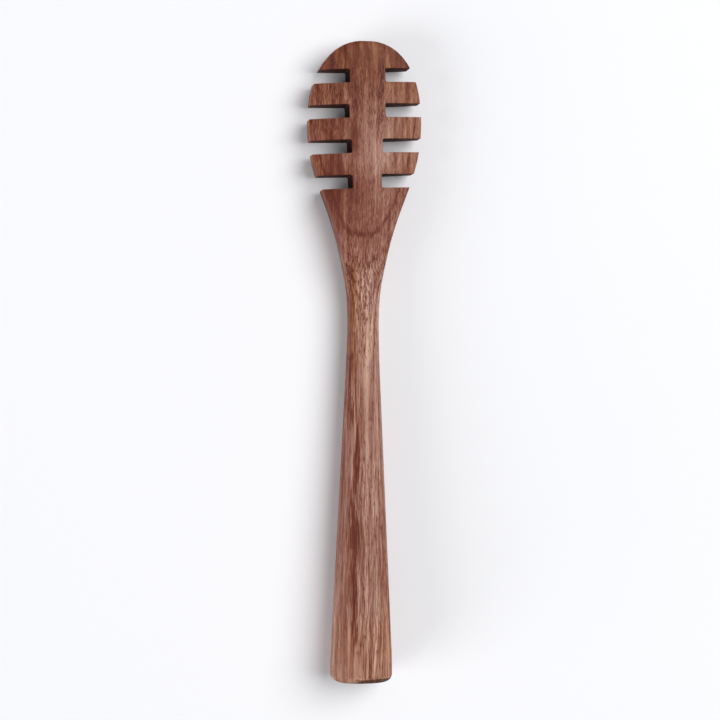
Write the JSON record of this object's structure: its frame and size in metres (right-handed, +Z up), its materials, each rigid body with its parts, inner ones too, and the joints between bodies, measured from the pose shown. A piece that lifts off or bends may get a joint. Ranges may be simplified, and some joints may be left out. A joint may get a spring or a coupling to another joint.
{
  "type": "honey dipper",
  "caption": "Flat walnut honey dipper: a slotted, crowned paddle head on a slim waist and a swelling rounded handle.",
  "frame": {"origin": "under the middle of the dipper, on the level that the butt rests on when it lies on its back", "axes": "+Y from the butt to the tip, +Z up out of the front face, +X to the right as seen from the front"},
  "size_m": [0.0354, 0.2, 0.0174],
  "materials": {
    "walnut_head": "oiled black walnut, sanded, grain along the dipper",
    "walnut_handle": "oiled black walnut, sanded, grain along the dipper"
  },
  "bodies": {
    "root": {"head": "walnut_head", "handle": "walnut_handle"}
  },
  "joints": []
}
